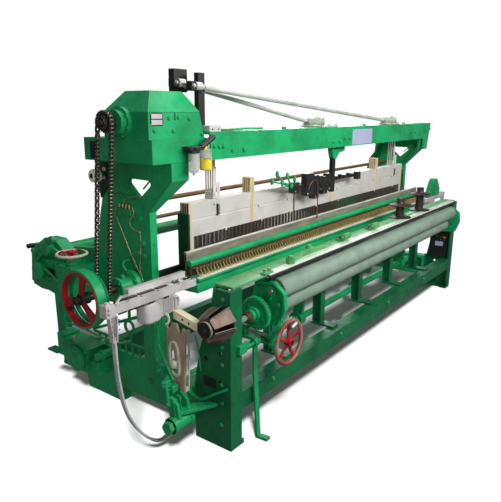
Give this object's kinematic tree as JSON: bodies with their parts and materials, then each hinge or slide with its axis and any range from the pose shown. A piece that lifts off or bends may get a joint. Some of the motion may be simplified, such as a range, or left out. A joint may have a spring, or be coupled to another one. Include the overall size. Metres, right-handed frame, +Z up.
{
  "type": "shuttleless loom",
  "caption": "Shuttleless weaving loom: green cast frame, chain-driven dobby head, heald frames, swinging sley, rapier unit, take-up rollers and handwheels.",
  "frame": {"origin": "centre of the bounding box at floor level", "axes": "+X along the cloth width away from the dobby drive, -Y to the weaver, +Z up"},
  "size_m": [4.626, 1.912, 1.96],
  "materials": {
    "green_paint": "gloss enamel",
    "red_paint": "gloss enamel",
    "cream_paint": "gloss enamel",
    "black_paint": "satin",
    "silver_cast": "cast, sanded",
    "aluminium": "brushed",
    "aluminium_tube": "satin",
    "chain_steel": "oiled",
    "steel_bright": "machined",
    "bronze": "dull",
    "emery": "rough grit cover",
    "black_plastic": "matte"
  },
  "bodies": {
    "frame": {"back_rest": "green_paint", "band_wheel": "silver_cast", "control_box": "black_plastic", "crank_brackets": "aluminium_tube", "dobby_box": "green_paint", "dobby_lid": "green_paint", "dobby_platform": "green_paint", "drive_chain": "chain_steel", "front_bottom_rail": "green_paint", "gear_case": "green_paint", "heald_guides": "green_paint", "left_front_stand": "green_paint", "left_side_frame": "green_paint", "let_off_housing": "green_paint", "lever_posts": "black_paint", "linkage_bracket": "green_paint", "lubricator": "black_plastic", "main_shaft": "steel_bright", "pedal_pin": "green_paint", "pull_rods": "aluminium_tube", "rapier_arm": "cream_paint", "rapier_case": "silver_cast", "rapier_tray": "silver_cast", "rear_bottom_rail": "green_paint", "right_front_stand": "green_paint", "right_rapier_cover": "green_paint", "right_rapier_unit": "silver_cast", "right_side_frame": "green_paint", "rocking_shaft": "green_paint", "roller_brackets": "green_paint", "slotted_lever": "silver_cast", "spools": "black_plastic", "sprockets": "chain_steel", "stop_lever": "green_paint", "table": "green_paint", "table_supports": "green_paint", "tape_guide": "silver_cast", "temples": "silver_cast", "top_beam": "green_paint", "warp_bars": "bronze", "weft_selector": "black_plastic", "worm_bracket": "green_paint"},
    "flywheel": {"flywheel": "red_paint"},
    "front_handwheel": {"front_handwheel": "red_paint"},
    "let_off_handwheel": {"let_off_handwheel": "red_paint"},
    "take_up": {"take_up_roller": "emery", "take_up_gear": "green_paint"},
    "press_roller": {"press_roller": "emery"},
    "foot_pedal": {"foot_pedal": "green_paint"},
    "sley": {"sley": "green_paint", "sley_swords": "green_paint", "guide_teeth": "bronze", "reed": "aluminium"},
    "heald_frame_1": {"heald_frame_1": "aluminium"},
    "heald_frame_2": {"heald_frame_2": "aluminium"},
    "heald_frame_3": {"heald_frame_3": "aluminium"},
    "heald_frame_4": {"heald_frame_4": "aluminium"}
  },
  "joints": [
    {"name": "flywheel_spin", "type": "hinge", "parent": "frame", "child": "flywheel", "pos_m": [-2.153, -0.114, 0.808], "axis": [1, 0, 0], "continuous": true},
    {"name": "front_handwheel_spin", "type": "hinge", "parent": "frame", "child": "front_handwheel", "pos_m": [-1.47, -0.934, 0.552], "axis": [0, 1, 0], "continuous": true},
    {"name": "let_off_handwheel_spin", "type": "hinge", "parent": "frame", "child": "let_off_handwheel", "pos_m": [-1.911, 0.306, 0.93], "axis": [0, 0, 1], "continuous": true},
    {"name": "take_up_spin", "type": "hinge", "parent": "frame", "child": "take_up", "pos_m": [0, -0.714, 0.666], "axis": [1, 0, 0], "continuous": true},
    {"name": "press_roller_spin", "type": "hinge", "parent": "frame", "child": "press_roller", "pos_m": [0, -0.774, 0.788], "axis": [1, 0, 0], "continuous": true},
    {"name": "pedal_swing", "type": "hinge", "parent": "frame", "child": "foot_pedal", "pos_m": [-1.599, -0.803, 0.56], "axis": [-1, 0, 0], "range_deg": [0, 14]},
    {"name": "sley_swing", "type": "hinge", "parent": "frame", "child": "sley", "pos_m": [0, -0.374, 0.25], "axis": [-1, 0, 0], "range_deg": [-2, 6]},
    {"name": "heald_1_lift", "type": "slide", "parent": "frame", "child": "heald_frame_1", "axis": [0, 0, 1], "range_m": [-0.05, 0.04]},
    {"name": "heald_2_lift", "type": "slide", "parent": "frame", "child": "heald_frame_2", "axis": [0, 0, 1], "range_m": [-0.05, 0.04]},
    {"name": "heald_3_lift", "type": "slide", "parent": "frame", "child": "heald_frame_3", "axis": [0, 0, 1], "range_m": [-0.05, 0.04]},
    {"name": "heald_4_lift", "type": "slide", "parent": "frame", "child": "heald_frame_4", "axis": [0, 0, 1], "range_m": [-0.05, 0.04]}
  ]
}
